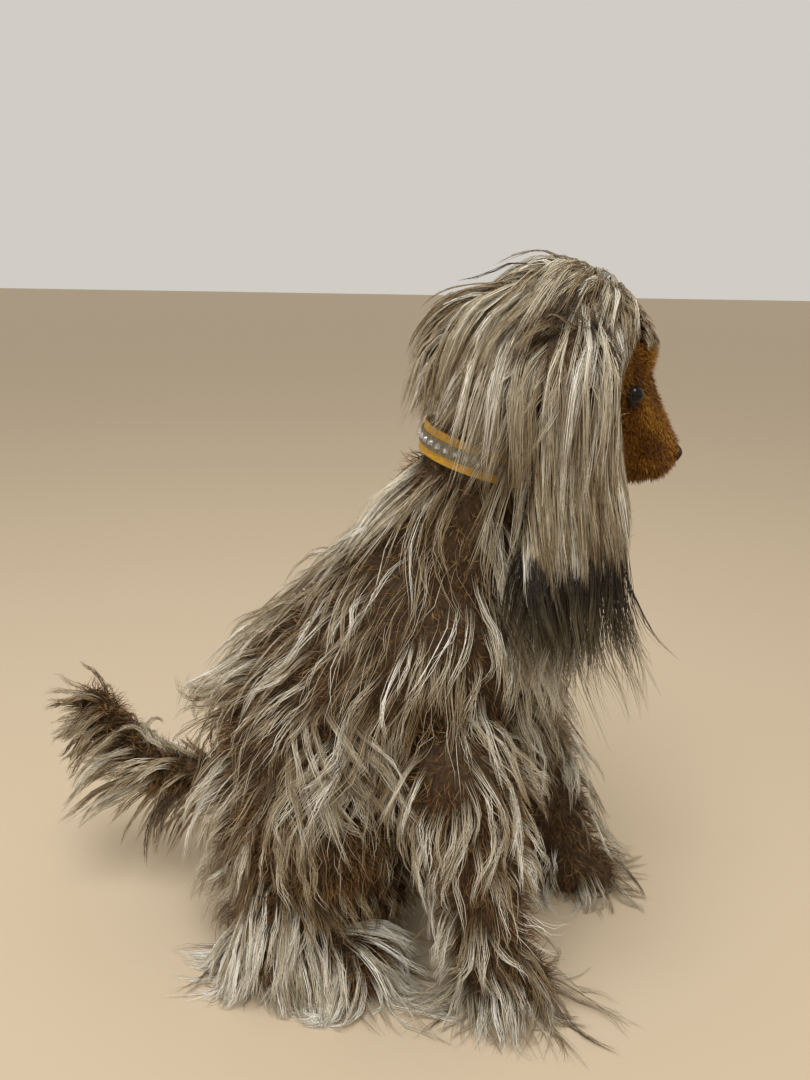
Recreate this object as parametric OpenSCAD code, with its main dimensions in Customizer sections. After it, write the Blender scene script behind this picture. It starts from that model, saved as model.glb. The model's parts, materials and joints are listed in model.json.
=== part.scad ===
// Seated long-haired plush dog: stuffed skins, hanging ears, turning head,
// wagging tail and a jewelled ribbon collar.
// +X is the way the dog faces, +Y its left side, +Z up. The origin is the
// middle of the flat seat under the rump, on the floor.
// Every soft form is given by the surface of its dense pile.

/* [Skin and seams] */
// Thickness of a skin: backing cloth and dense pile
skin_t = 4; // [2:0.5:6]
// Clearance between a skin and the stuffing or panel beside it
seam_gap = 0.3; // [0.2:0.1:0.8]
// Thickness of the panels that rest on the floor
sole_t = 2; // [1:0.5:3]

/* [Torso] */
// Radius of the rump
rump_r = 82; // [70:1:100]
// Height of the rump's centre above the floor
rump_z = 72; // [62:1:76]
// Radius of the loin
loin_r = 82; // [70:1:92]
// How far the loin's centre is ahead of the seat
loin_x = 18; // [5:1:35]
// Height of the loin's centre
loin_z = 166; // [140:1:195]
// Radius of the chest
chest_r = 79; // [65:1:90]
// How far the chest's centre is ahead of the seat
chest_x = 82; // [60:1:100]
// Height of the chest's centre
chest_z = 236; // [215:1:250]

/* [Weight bag] */
// Radius of the pellet bag in the rump
bag_r = 44; // [25:1:50]
// Thickness of the pellet bag
bag_h = 34; // [16:1:44]
// Height of the pellet bag's underside above the floor
bag_z = 12; // [8:1:18]

/* [Neck] */
// How far the collar's centre is ahead of the seat
neck_x = 118; // [105:1:130]
// Height of the collar's centre
neck_z = 364; // [350:1:385]
// Forward lean of the neck
neck_tilt = 14; // [0:1:25]
// Radius of the neck under the collar
neck_r = 43; // [34:1:48]
// Radius of the neck where it meets the shoulders
neck_base_r = 56; // [48:1:62]
// Length of the neck below the collar's centre
neck_len = 72; // [60:1:90]

/* [Head] */
// Turn of the head to the dog's left, at rest
head_yaw = 25; // [-30:1:35]
// Radius of the skull
skull_r = 56; // [46:1:62]
// How far the skull's centre is ahead of the collar's centre
skull_x = 20; // [8:1:26]
// Height of the skull's centre above the collar's centre
skull_z = 48; // [42:1:60]
// Radius of the brow
brow_r = 33; // [26:1:38]
// Radius of the muzzle at the cheeks
cheek_r = 26; // [20:1:30]
// Radius of the muzzle's end
muzzle_r = 17; // [12:1:20]
// Reach of the muzzle's end ahead of the brow
muzzle_reach = 52; // [40:1:66]
// Drop of the muzzle's end below the brow
muzzle_drop = 57; // [40:1:70]
// Radius of the nose
nose_r = 8.5; // [6:0.5:11]
// Radius of an eye
eye_r = 6; // [5:0.5:9]
// Radius of an eye's shank
shank_r = 2.2; // [1.5:0.1:3]
// Length of an eye's shank
shank_len = 15; // [12:1:20]
// Radius of the washer that holds an eye
washer_r = 6.5; // [6:0.5:10]

/* [Ears] */
// Length of an ear from its root to the centre of its round tip
ear_len = 100; // [70:1:106]
// Radius of an ear's round tip
ear_tip_r = 30; // [22:1:34]
// Radius of an ear's root
ear_root_r = 21; // [15:1:26]
// Thickness of an ear's long-pile layer
ear_pile_t = 6; // [3:0.5:9]
// Thickness of an ear's lining
ear_lining_t = 3; // [1.5:0.5:4]
// Angle at which an ear stands off the head
ear_splay = 6; // [4:1:15]
// Gap between an ear's root and the skull
ear_off = 1.5; // [1:0.5:6]

/* [Front legs] */
// Distance of a front leg from the middle of the dog
front_y = 58; // [50:1:66]
// How far a front paw is ahead of the seat
front_paw_x = 140; // [120:1:150]
// How much further ahead the left front paw is than the right one
left_lead = 50; // [0:1:60]
// Radius of a front leg at the shoulder
shoulder_r = 38; // [30:1:42]
// Height of the shoulder
shoulder_z = 172; // [150:1:190]
// Radius of a front leg at the knee
knee_r = 29; // [22:1:32]
// Radius of a front paw
front_paw_r = 26; // [20:1:30]

/* [Hind legs] */
// Distance of a thigh's centre from the middle of the dog
thigh_y = 50; // [42:1:58]
// Radius of a thigh
thigh_r = 52; // [42:1:58]
// Height of a thigh's centre
thigh_z = 120; // [105:1:130]
// Distance of a hind paw from the middle of the dog
hind_y = 68; // [62:1:76]
// Radius of a hind paw's heel
heel_r = 27; // [22:1:30]
// Distance from a hind paw's heel to its toes
hind_paw_len = 56; // [40:1:64]

/* [Tail] */
// Radius of the tail
tail_r = 16; // [11:0.5:20]
// Length of the tail's level part
tail_level = 42; // [26:1:60]
// Radius of the tail's upward bend
tail_bend_r = 46; // [30:1:60]
// Angle of the tail's upward bend
tail_bend = 62; // [30:1:80]
// Length of the tail's raised end
tail_end = 34; // [15:1:50]
// Height of the tail's root
tail_z = 100; // [80:1:115]

/* [Collar] */
// Height of the collar's ribbon
ribbon_h = 18; // [12:1:18]
// Thickness of the ribbon
ribbon_t = 1.6; // [1:0.2:2.4]
// Clearance between the ribbon and the neck
collar_gap = 1.2; // [0.6:0.2:3]
// Height of the strip along the ribbon's middle
strip_h = 8; // [6:1:10]
// Thickness of the strip
strip_t = 1; // [0.6:0.2:1.6]
// Radius of a stone
stone_r = 2.2; // [1.4:0.1:2.8]
// Number of stones round the collar
stone_count = 38; // [20:1:40]
// Angle of the ribbon that its sewn overlap covers
overlap_angle = 22; // [16:1:30]

/* [Hidden] */
$fn = 64;

right = -1;
left = 1;
big = 1000;                             // larger than the whole dog
poles_sideways = [90, 0, 0];            // a ball's turn where it is halved
waist = 0.97;                           // a limb's cone against its end spheres
pile_brown = [0.42, 0.33, 0.22];
pile_silver = [0.60, 0.56, 0.48];
face_tan = [0.50, 0.34, 0.12];
fill_white = [0.93, 0.92, 0.89];
gold = [0.80, 0.60, 0.12];

rump = [6, 0, rump_z];
loin = [loin_x, 0, loin_z];
chest = [chest_x, 0, chest_z];

// The head's places are counted from the collar's centre.
collar_centre = [neck_x, 0, neck_z];
neck_top = ribbon_h / 2;                // the neck ends flush with the ribbon's edge
head_clearance = 0.5;                   // between the turning head and the neck
skull = [skull_x, 0, skull_z];
brow = skull + [41, 0, 4];
cheek = brow + [muzzle_reach * 0.44, 0, -muzzle_drop * 0.38];
muzzle = brow + [muzzle_reach, 0, -muzzle_drop];
// Angle below the horizon of the line from the brow to the end of the muzzle
muzzle_pitch = atan2(muzzle_drop, muzzle_reach);
nose_centre = muzzle + (muzzle_r - 3) * [cos(muzzle_pitch - 28), 0, -sin(muzzle_pitch - 28)];
eye_yaw = 56;                           // outward turn of an eye
eye_pitch = 8;                          // upward turn of an eye
eye_z = 18;                             // an eye's height below the brow's centre
eye_dome_flat = 1;                      // how far an eye's centre is sunk in the face
shank_clearance = 0.2;
washer_t = 1.5;
washer_inset = 4.5;                     // a washer's depth beyond its own radius
// Depth of a washer below the brow's surface, which keeps its rim inside the skin
washer_depth = washer_r + washer_inset;

ear_x = skull_x + 5;
ear_z = skull_z + 18;
ear_y = skull_r + ear_off;
ear_waist = 0.93;                       // an ear's straight sides against its round ends

shoulder_x = 112;
shoulder_lead = 0.4;                    // share of the lead that the shoulder takes
knee_lead = 0.7;                        // share of the lead that the knee takes
knee_z = 98;
toe_reach = 20;                         // from a front paw's centre to its toes
toe_drop = 6;                           // a toe's radius below its paw's radius

thigh_x = 14;
hock = [2, 72, 31];                     // x, height and radius of the hock
heel_x = -14;
paw_sink = 8;                           // how deep a paw's round is cut off flat by the floor

tail_socket_gap = 1;
tail_clear = 9;                         // from the rump's surface to the tail's pivot
tail_root_x = rump.x - sqrt(pow(rump_r, 2) - pow(tail_z - rump_z, 2)) - tail_clear;
tail_root = [tail_root_x, 0, tail_z];

ribbon_r = neck_r + collar_gap;         // inside of the ribbon
strip_r = ribbon_r + ribbon_t + 0.05;   // inside of the strip
stone_ring_r = strip_r + strip_t + 0.05;
stone_h = 1.5;
overlap_t = 1.6;

// ---- Shared forms ----

// A ball, whose poles can be turned away from where it is cut
module ball(r, turn = [0, 0, 0]) { rotate(turn) sphere(r = r); }

// A round limb between two points
module limb(a, ra, b, rb, turn = [0, 0, 0]) {
    v = b - a;
    span = norm(v);
    translate(a) ball(ra, turn);
    translate(b) ball(rb, turn);
    translate(a)
        rotate([0, acos(v.z / span), atan2(v.y, v.x)])
            rotate([0, 0, turn.x])
                cylinder(h = span, r1 = ra * waist, r2 = rb * waist);
}

// Keeps what is above a height
module above(z) {
    intersection() {
        children();
        translate([-big / 2, -big / 2, z]) cube(big);
    }
}

// Keeps what is on one side of the middle of the frame
module on_side(side) {
    intersection() {
        children();
        translate([-big / 2, side == left ? 0 : -big, -big / 2]) cube(big);
    }
}

// The torso's form, drawn in by inset
module torso_form(inset = 0, turn = [0, 0, 0]) {
    limb(rump, rump_r - inset, loin, loin_r - inset, turn);
    limb(loin, loin_r - inset, chest, chest_r - inset, turn);
}

// Places children in the frame whose +Z runs up the neck from the collar's centre
module on_neck() {
    translate(collar_centre) rotate([0, neck_tilt, 0]) children();
}

// Places children in the turned head's upright frame
module in_head() {
    on_neck() rotate([0, 0, head_yaw]) rotate([0, -neck_tilt, 0]) children();
}

// The neck: a straight top under the collar that flares to the shoulders
module neck_form(inset = 0) {
    flare_z = -ribbon_h / 2 - 5;
    on_neck()
        rotate_extrude()
            polygon([
                [0, -neck_len], [neck_base_r - inset, -neck_len],
                [neck_r - inset, flare_z], [neck_r - inset, neck_top], [0, neck_top]
            ]);
}

// Everything of the head that is above the neck
module above_neck(gap) {
    intersection() {
        children();
        rotate([0, neck_tilt, 0])
            translate([-big / 2, -big / 2, neck_top + gap]) cube(big);
    }
}

module skull_form(inset = 0, turn = [0, 0, 0]) {
    translate(skull) ball(skull_r - inset, turn);
}

module face_form(inset = 0) {
    limb(brow, brow_r - inset, cheek, cheek_r - inset);
    limb(cheek, cheek_r - inset, muzzle, muzzle_r - inset);
}

// Places children on an eye's axis, with +Z pointing out and zero on the brow's surface
module on_eye(side) {
    translate(brow - [0, 0, eye_z])
        rotate([0, 0, side * eye_yaw])
            rotate([0, 90 - eye_pitch, 0])
                translate([0, 0, brow_r]) children();
}

module eye_form(extra = 0) {
    translate([0, 0, -eye_dome_flat]) sphere(r = eye_r + extra);
    translate([0, 0, -shank_len]) cylinder(h = shank_len, r = shank_r + extra);
}

module washer_form(extra = 0) {
    translate([0, 0, -washer_depth - washer_t - extra])
        cylinder(h = washer_t + 2 * extra, r = washer_r + extra);
}

function front_foot(side, lead) =
    [front_paw_x + (side == left ? left_lead * lead : 0), side * front_y, 0];

module front_leg_form(side, inset = 0) {
    foot = front_foot(side, 1);
    top_x = shoulder_x + (side == left ? left_lead * shoulder_lead : 0);
    shoulder = [top_x, foot.y + side * 4, shoulder_z];
    knee = [front_foot(side, knee_lead).x - 14, foot.y + side * 2, knee_z];
    paw = foot + [0, 0, front_paw_r - paw_sink];
    toe_r = front_paw_r - toe_drop;
    toe = foot + [toe_reach, 0, toe_r - paw_sink];
    limb(shoulder, shoulder_r - inset, knee, knee_r - inset);
    limb(knee, knee_r - inset, paw, front_paw_r - inset);
    limb(paw, front_paw_r - inset, toe, toe_r - inset);
}

module thigh_form(side, inset = 0) {
    translate([thigh_x, side * thigh_y, thigh_z]) ball(thigh_r - inset);
}

module hind_leg_form(side, inset = 0) {
    top = [hock.x, side * (hind_y - 8), hock.y];
    heel = [heel_x, side * hind_y, heel_r - paw_sink];
    toe = heel + [hind_paw_len, side * 2, -1];
    limb(top, hock.z - inset, heel, heel_r - inset);
    limb(heel, heel_r - inset, toe, heel_r - 1 - inset);
}

// A point of the tail's bend, at an angle from its start
function bend_point(angle) = tail_root
    + [-tail_level - tail_bend_r * sin(angle), 0, tail_bend_r * (1 - cos(angle))];

// The tail from its pivot: level, then bent up, then a straight raised end
module tail_form(inset = 0) {
    r = tail_r - inset;
    steps = 3;
    bend = [for (i = [0 : steps]) bend_point(tail_bend * i / steps)];
    tip = bend[steps] + tail_end * [-cos(tail_bend), 0, sin(tail_bend)];
    points = concat([tail_root], bend, [tip]);
    for (i = [1 : len(points) - 1]) limb(points[i - 1], r, points[i], r);
}

module tail_socket() {
    translate(tail_root) ball(tail_r + tail_socket_gap);
}

module bag_form(extra = 0) {
    edge = bag_h * 0.3;
    r = bag_r + extra;
    translate([rump.x, 0, bag_z])
        rotate_extrude()
            polygon([
                [0, -extra], [r - edge, -extra], [r, edge], [r, bag_h - edge],
                [r - edge, bag_h + extra], [0, bag_h + extra]
            ]);
}

// One flat layer of an ear, hanging from its root
module ear_layer(side, start, thickness) {
    translate([ear_x, side * ear_y, ear_z])
        rotate([side * ear_splay, 0, 0])
            translate([0, side * start, 0])
                rotate([side * -90, 0, 0])
                    linear_extrude(thickness)
                        scale([1, side]) ear_outline();
}

// Outline of an ear, with its length along +Y
module ear_outline() {
    circle(r = ear_root_r);
    translate([0, ear_len]) circle(r = ear_tip_r);
    polygon([
        [-ear_root_r * ear_waist, 0], [ear_root_r * ear_waist, 0],
        [ear_tip_r * ear_waist, ear_len], [-ear_tip_r * ear_waist, ear_len]
    ]);
}

// ---- Torso ----

module torso_skin(side) {
    color(pile_brown)
        above(0) on_side(side) difference() {
            torso_form(0, poles_sideways);
            torso_form(skin_t, poles_sideways);
            tail_socket();
        }
}

module torso_skin_right() { torso_skin(right); }
module torso_skin_left() { torso_skin(left); }

module torso_stuffing() {
    color(fill_white)
        above(sole_t + seam_gap) difference() {
            torso_form(skin_t + seam_gap);
            tail_socket();
            bag_form(seam_gap);
        }
}

module pellet_bag() { color("lightsteelblue") bag_form(); }

module seat_panel() {
    color(pile_brown) intersection() {
        torso_form(skin_t + seam_gap);
        translate([rump.x, 0, 0]) cylinder(h = sole_t, r = rump_r);
    }
}

module neck_skin() {
    color(pile_brown) difference() {
        neck_form();
        neck_form(skin_t);
        torso_form(-seam_gap);
    }
}

module neck_stuffing() {
    color(fill_white) difference() {
        neck_form(skin_t + seam_gap);
        torso_form(-seam_gap);
    }
}

// ---- Front legs ----

module front_leg_skin(side) {
    color(pile_silver)
        above(0) difference() {
            front_leg_form(side);
            front_leg_form(side, skin_t);
            torso_form(-seam_gap);
            neck_form(-seam_gap);
        }
}

module front_leg_stuffing(side) {
    color(fill_white)
        above(sole_t + seam_gap) difference() {
            front_leg_form(side, skin_t + seam_gap);
            torso_form(-seam_gap);
            neck_form(-seam_gap);
        }
}

module front_sole(side) {
    foot = front_foot(side, 1);
    color(pile_brown) intersection() {
        front_leg_form(side, skin_t + seam_gap);
        translate([foot.x, foot.y, 0]) cylinder(h = sole_t, r = 2 * front_paw_r);
    }
}

module front_leg_right_skin() { front_leg_skin(right); }
module front_leg_right_stuffing() { front_leg_stuffing(right); }
module front_sole_right() { front_sole(right); }
module front_leg_left_skin() { front_leg_skin(left); }
module front_leg_left_stuffing() { front_leg_stuffing(left); }
module front_sole_left() { front_sole(left); }

// ---- Hind legs ----

module thigh_skin(side) {
    color(pile_silver) difference() {
        thigh_form(side);
        thigh_form(side, skin_t);
        torso_form(-seam_gap);
    }
}

module thigh_stuffing(side) {
    color(fill_white) difference() {
        thigh_form(side, skin_t + seam_gap);
        torso_form(-seam_gap);
    }
}

module hind_leg_skin(side) {
    color(pile_silver)
        above(0) difference() {
            hind_leg_form(side);
            hind_leg_form(side, skin_t);
            torso_form(-seam_gap);
            thigh_form(side, -seam_gap);
        }
}

module hind_leg_stuffing(side) {
    color(fill_white)
        above(sole_t + seam_gap) difference() {
            hind_leg_form(side, skin_t + seam_gap);
            torso_form(-seam_gap);
            thigh_form(side, -seam_gap);
        }
}

module hind_sole(side) {
    color(pile_brown) intersection() {
        hind_leg_form(side, skin_t + seam_gap);
        translate([heel_x + hind_paw_len / 2, side * hind_y, 0])
            cylinder(h = sole_t, r = hind_paw_len);
    }
}

module thigh_right_skin() { thigh_skin(right); }
module thigh_right_stuffing() { thigh_stuffing(right); }
module thigh_left_skin() { thigh_skin(left); }
module thigh_left_stuffing() { thigh_stuffing(left); }
module hind_leg_right_skin() { hind_leg_skin(right); }
module hind_leg_right_stuffing() { hind_leg_stuffing(right); }
module hind_sole_right() { hind_sole(right); }
module hind_leg_left_skin() { hind_leg_skin(left); }
module hind_leg_left_stuffing() { hind_leg_stuffing(left); }
module hind_sole_left() { hind_sole(left); }

// ---- Tail ----

module tail_skin() {
    color(pile_brown) difference() {
        tail_form();
        tail_form(skin_t);
    }
}

module tail_stuffing() { color(fill_white) tail_form(skin_t + seam_gap); }

// ---- Collar ----

module collar_ring(inner_r, thickness, height, angle) {
    rotate([0, 0, (360 - angle) / 2])
        rotate_extrude(angle = angle)
            translate([inner_r, -height / 2]) square([thickness, height]);
}

module collar_ribbon() {
    color(gold) on_neck() difference() {
        cylinder(h = ribbon_h, r = ribbon_r + ribbon_t, center = true);
        cylinder(h = big, r = ribbon_r, center = true);
    }
}

module collar_strip() {
    color([0.55, 0.54, 0.50])
        on_neck() collar_ring(strip_r, strip_t, strip_h, 360 - overlap_angle);
}

module collar_stones() {
    free = 360 - overlap_angle - 10;    // the stones stop short of the overlap
    color([0.85, 0.87, 0.90]) on_neck()
        for (i = [0 : stone_count - 1])
            rotate([0, 0, 180 + free * (i / (stone_count - 1) - 0.5)])
                translate([stone_ring_r, 0, 0])
                    rotate([0, 90, 0])
                        cylinder(h = stone_h, r1 = stone_r, r2 = stone_r * 0.6);
}

module collar_overlap() {
    color(gold)
        on_neck() rotate([0, 0, 180])
            collar_ring(strip_r, overlap_t, ribbon_h, overlap_angle - 2);
}

// ---- Head ----

module head_skin(side) {
    // The ball's own poles are kept off the panel's edges.
    turn = [side * 20, 60, 0];
    color(pile_silver) in_head() above_neck(head_clearance) difference() {
        on_side(side) difference() {
            skull_form(0, turn);
            skull_form(skin_t, turn);
        }
        face_form(-seam_gap);
    }
}

module head_skin_right() { head_skin(right); }
module head_skin_left() { head_skin(left); }

module head_stuffing() {
    color(fill_white) in_head() above_neck(head_clearance) difference() {
        union() {
            skull_form(skin_t + seam_gap);
            face_form(skin_t + seam_gap);
        }
        nose_pocket();
        for (side = [right, left]) on_eye(side) {
            eye_form(shank_clearance);
            washer_form(shank_clearance);
        }
    }
}

module face_skin() {
    color(face_tan) in_head() above_neck(head_clearance) difference() {
        face_form();
        face_form(skin_t);
        skull_form(skin_t);
        nose_pocket();
        for (side = [right, left]) on_eye(side) eye_form(shank_clearance);
    }
}

module nose_pocket() {
    translate(nose_centre) ball(nose_r + seam_gap);
}

module nose() {
    color([0.12, 0.07, 0.04]) in_head() translate(nose_centre) ball(nose_r);
}

module eye(side) {
    color([0.10, 0.05, 0.02]) in_head() on_eye(side) eye_form();
}

module eye_washer(side) {
    color("white") in_head() on_eye(side) difference() {
        washer_form();
        cylinder(h = 2 * shank_len, r = shank_r + shank_clearance, center = true);
    }
}

module eye_right() { eye(right); }
module eye_left() { eye(left); }
module eye_washer_right() { eye_washer(right); }
module eye_washer_left() { eye_washer(left); }

// ---- Ears ----

module ear_pile(side) {
    color(pile_silver)
        in_head() ear_layer(side, ear_lining_t + seam_gap, ear_pile_t);
}

module ear_lining(side) {
    color(pile_brown) in_head() ear_layer(side, 0, ear_lining_t);
}

module ear_right_pile() { ear_pile(right); }
module ear_right_lining() { ear_lining(right); }
module ear_left_pile() { ear_pile(left); }
module ear_left_lining() { ear_lining(left); }

torso_skin_right();
torso_skin_left();
torso_stuffing();
pellet_bag();
seat_panel();
neck_skin();
neck_stuffing();
front_leg_right_skin();
front_leg_right_stuffing();
front_sole_right();
front_leg_left_skin();
front_leg_left_stuffing();
front_sole_left();
thigh_right_skin();
thigh_right_stuffing();
thigh_left_skin();
thigh_left_stuffing();
hind_leg_right_skin();
hind_leg_right_stuffing();
hind_sole_right();
hind_leg_left_skin();
hind_leg_left_stuffing();
hind_sole_left();
tail_skin();
tail_stuffing();
collar_ribbon();
collar_strip();
collar_stones();
collar_overlap();
head_skin_right();
head_skin_left();
head_stuffing();
face_skin();
nose();
eye_right();
eye_left();
eye_washer_right();
eye_washer_left();
ear_right_pile();
ear_right_lining();
ear_left_pile();
ear_left_lining();
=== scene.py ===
# %% [markdown]
# # A seated long-haired plush dog
# The dog is built in layers, as the toy is: brown plush forms over the frame, a short curly underpile,
# long silver-tipped hair that is combed and hangs under its own weight, a short-pile tan face, glossy
# eyes and a jewelled collar. Everything is in the frame's own metres, +X the way the body faces.
#
# First the frame is loaded, and its size is kept for the end.

# %% The frame
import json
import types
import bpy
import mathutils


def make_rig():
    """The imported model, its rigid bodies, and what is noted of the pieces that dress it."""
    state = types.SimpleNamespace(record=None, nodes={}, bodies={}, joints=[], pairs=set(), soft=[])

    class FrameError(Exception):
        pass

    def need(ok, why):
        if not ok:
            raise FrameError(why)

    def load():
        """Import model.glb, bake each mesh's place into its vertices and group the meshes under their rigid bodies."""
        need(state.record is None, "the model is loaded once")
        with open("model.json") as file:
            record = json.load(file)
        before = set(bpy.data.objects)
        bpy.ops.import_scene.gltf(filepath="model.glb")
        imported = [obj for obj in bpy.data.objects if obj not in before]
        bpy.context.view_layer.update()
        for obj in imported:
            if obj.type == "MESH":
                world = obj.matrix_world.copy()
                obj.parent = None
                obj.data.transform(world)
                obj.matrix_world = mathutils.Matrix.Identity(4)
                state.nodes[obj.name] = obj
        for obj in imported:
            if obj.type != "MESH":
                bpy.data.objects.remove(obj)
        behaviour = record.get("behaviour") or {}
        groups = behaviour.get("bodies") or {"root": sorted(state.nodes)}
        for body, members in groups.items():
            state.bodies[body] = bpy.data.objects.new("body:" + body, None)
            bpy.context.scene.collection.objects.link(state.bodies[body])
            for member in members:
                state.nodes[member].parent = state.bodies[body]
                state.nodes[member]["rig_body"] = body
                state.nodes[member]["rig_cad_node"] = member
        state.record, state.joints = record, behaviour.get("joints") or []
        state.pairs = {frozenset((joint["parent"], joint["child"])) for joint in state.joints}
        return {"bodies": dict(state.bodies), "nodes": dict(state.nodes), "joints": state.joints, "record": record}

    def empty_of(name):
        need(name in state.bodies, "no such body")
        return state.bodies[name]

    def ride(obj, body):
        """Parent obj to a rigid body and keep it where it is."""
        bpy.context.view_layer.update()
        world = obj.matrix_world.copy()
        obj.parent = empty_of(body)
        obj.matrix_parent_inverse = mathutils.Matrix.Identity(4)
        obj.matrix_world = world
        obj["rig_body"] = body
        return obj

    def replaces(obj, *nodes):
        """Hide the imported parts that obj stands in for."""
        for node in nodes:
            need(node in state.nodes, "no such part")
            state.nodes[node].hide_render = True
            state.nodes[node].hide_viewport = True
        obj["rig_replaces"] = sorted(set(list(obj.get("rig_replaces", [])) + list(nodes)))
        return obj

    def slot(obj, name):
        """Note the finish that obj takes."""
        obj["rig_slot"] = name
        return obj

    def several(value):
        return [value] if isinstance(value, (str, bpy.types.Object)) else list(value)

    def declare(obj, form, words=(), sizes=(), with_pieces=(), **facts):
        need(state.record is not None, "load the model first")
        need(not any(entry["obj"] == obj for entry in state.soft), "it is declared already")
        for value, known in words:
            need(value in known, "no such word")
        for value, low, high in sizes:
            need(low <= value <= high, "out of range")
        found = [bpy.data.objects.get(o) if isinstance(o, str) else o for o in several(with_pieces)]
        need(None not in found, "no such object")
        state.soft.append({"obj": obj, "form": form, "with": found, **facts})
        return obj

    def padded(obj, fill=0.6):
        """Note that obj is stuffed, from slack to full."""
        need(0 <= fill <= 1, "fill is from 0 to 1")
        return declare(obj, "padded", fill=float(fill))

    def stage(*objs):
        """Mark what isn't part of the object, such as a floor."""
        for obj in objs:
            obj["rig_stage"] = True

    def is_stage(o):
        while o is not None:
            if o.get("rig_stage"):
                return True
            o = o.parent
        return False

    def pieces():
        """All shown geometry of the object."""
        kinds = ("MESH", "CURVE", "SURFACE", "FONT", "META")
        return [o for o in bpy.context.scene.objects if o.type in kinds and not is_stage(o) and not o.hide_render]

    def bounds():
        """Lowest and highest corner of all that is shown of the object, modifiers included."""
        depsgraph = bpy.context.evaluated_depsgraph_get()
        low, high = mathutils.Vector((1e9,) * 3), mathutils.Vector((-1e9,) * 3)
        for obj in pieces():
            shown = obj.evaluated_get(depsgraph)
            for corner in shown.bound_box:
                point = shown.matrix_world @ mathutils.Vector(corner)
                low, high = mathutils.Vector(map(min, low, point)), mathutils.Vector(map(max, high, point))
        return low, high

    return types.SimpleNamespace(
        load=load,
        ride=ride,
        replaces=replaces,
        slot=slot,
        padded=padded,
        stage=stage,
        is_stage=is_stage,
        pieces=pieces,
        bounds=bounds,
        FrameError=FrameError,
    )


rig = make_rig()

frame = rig.load()

import json
import math
import bpy
import numpy as np
from mathutils import Matrix, Vector

cad_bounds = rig.bounds()
print("frame loaded,", len(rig.pieces()), "pieces")

# %% [markdown]
# ## Camera
# The camera stands at the dog's right, a little behind and a little above it, tipped down.

# %% Camera
CAMERA_PLACE = Vector((0.1522, -0.5063, 0.463))
LOOK_TURN = math.radians(100)
LOOK_DOWN = math.radians(17.5)
ROLL = math.radians(0.8)

camera_data = bpy.data.cameras.new("main_camera")
camera_data.lens = 27
camera_data.sensor_fit = "VERTICAL"
camera_data.sensor_height = 36
camera_data.clip_start = 0.01
camera = bpy.data.objects.new("main_camera", camera_data)
bpy.context.scene.collection.objects.link(camera)
look = Matrix.Rotation(LOOK_TURN - math.pi / 2, 4, "Z") @ Matrix.Rotation(math.pi / 2 - LOOK_DOWN, 4, "X")
camera.matrix_world = Matrix.Translation(CAMERA_PLACE) @ look @ Matrix.Rotation(ROLL, 4, "Z")
bpy.context.scene.camera = camera
print("camera at", tuple(round(x, 3) for x in CAMERA_PLACE))

# %% [markdown]
# ## The body in balls and limbs
# Every soft form is a chain of balls, given in millimetres as (x, y, z, radius). The same chains make
# the plush forms and tell the hair how far it is from the body. The head's own places are counted from
# the collar's centre and turned with the head.

# %% Body chains
MM = 0.001
RIGHT, LEFT = -1, 1
SIDES = {"right": RIGHT, "left": LEFT}
NECK_TILT = math.radians(14)
HEAD_YAW = math.radians(25)
EAR_SPLAY = math.radians(6)
COLLAR = np.array([118, 0, 364]) * MM
NECK_AXIS = np.array([math.sin(NECK_TILT), 0, math.cos(NECK_TILT)])
HEAD_TURN = np.array(Matrix.Rotation(HEAD_YAW, 3, Vector(NECK_AXIS)))


def chain(*balls):
    """Balls given in millimetres, as (centre, radius) in metres."""
    return [(np.array(b[:3], float) * MM, b[3] * MM) for b in balls]


def head_chain(*balls):
    """The same, for balls given in the turned head's frame."""
    return [(head_point(b[:3]), b[3] * MM) for b in balls]


def head_point(place):
    return COLLAR + HEAD_TURN @ (np.array(place, float) * MM)


def to_head(points):
    """Points in the head's frame, in metres from the collar's centre."""
    return (points - COLLAR) @ HEAD_TURN


def neck_ball(along, radius):
    centre = COLLAR / MM + NECK_AXIS * along
    return (*centre, radius)


CHAINS = {
    "torso": chain((6, 0, 72, 82), (18, 0, 166, 82), (82, 0, 236, 79)),
    "neck": chain(neck_ball(-72, 56), neck_ball(-14, 43), neck_ball(-6, 43)),
    "head": head_chain((20, 0, 48, 56), (40, 0, 66, 43), (60, 0, 54, 32)),
    "face": head_chain((72, 0, 60, 26), (62, 0, 54, 30), (85, 0, 27, 22), (112, 0, -5, 15.5)),
    "lip_right": head_chain((104, -7, -8, 11), (110, -7, -11, 10)),
    "lip_left": head_chain((104, 7, -8, 11), (110, 7, -11, 10)),
    "jaw": head_chain((80, 0, 8, 16), (100, 0, -15, 10)),
    "tail": chain((-80, 0, 100, 16), (-122, 0, 100, 16), (-147, 0, 107, 16), (-163, 0, 124, 16),
                  (-178, 0, 154, 14)),
}
for side_name, side in SIDES.items():
    lead = 50 if side == LEFT else 0
    CHAINS["front_leg_" + side_name] = chain(
        (112 + 0.4 * lead, side * 62, 172, 38), (126 + 0.7 * lead, side * 60, 98, 29),
        (140 + lead, side * 58, 18, 26), (160 + lead, side * 58, 12, 20))
    CHAINS["thigh_" + side_name] = chain((14, side * 50, 120, 52), (20, side * 50, 116, 51))
    CHAINS["hind_leg_" + side_name] = chain(
        (2, side * 60, 72, 31), (-14, side * 68, 19, 27), (42, side * 70, 18, 26))
    splay = math.sin(EAR_SPLAY)
    for row, spread in (("front", 1), ("middle", 0), ("rear", -1)):
        CHAINS["ear_" + side_name + "_" + row] = head_chain(
            (25 + 14 * spread, side * 62, 68, 6), (25 + 22 * spread, side * (62 + 118 * splay), -50, 6))

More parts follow.
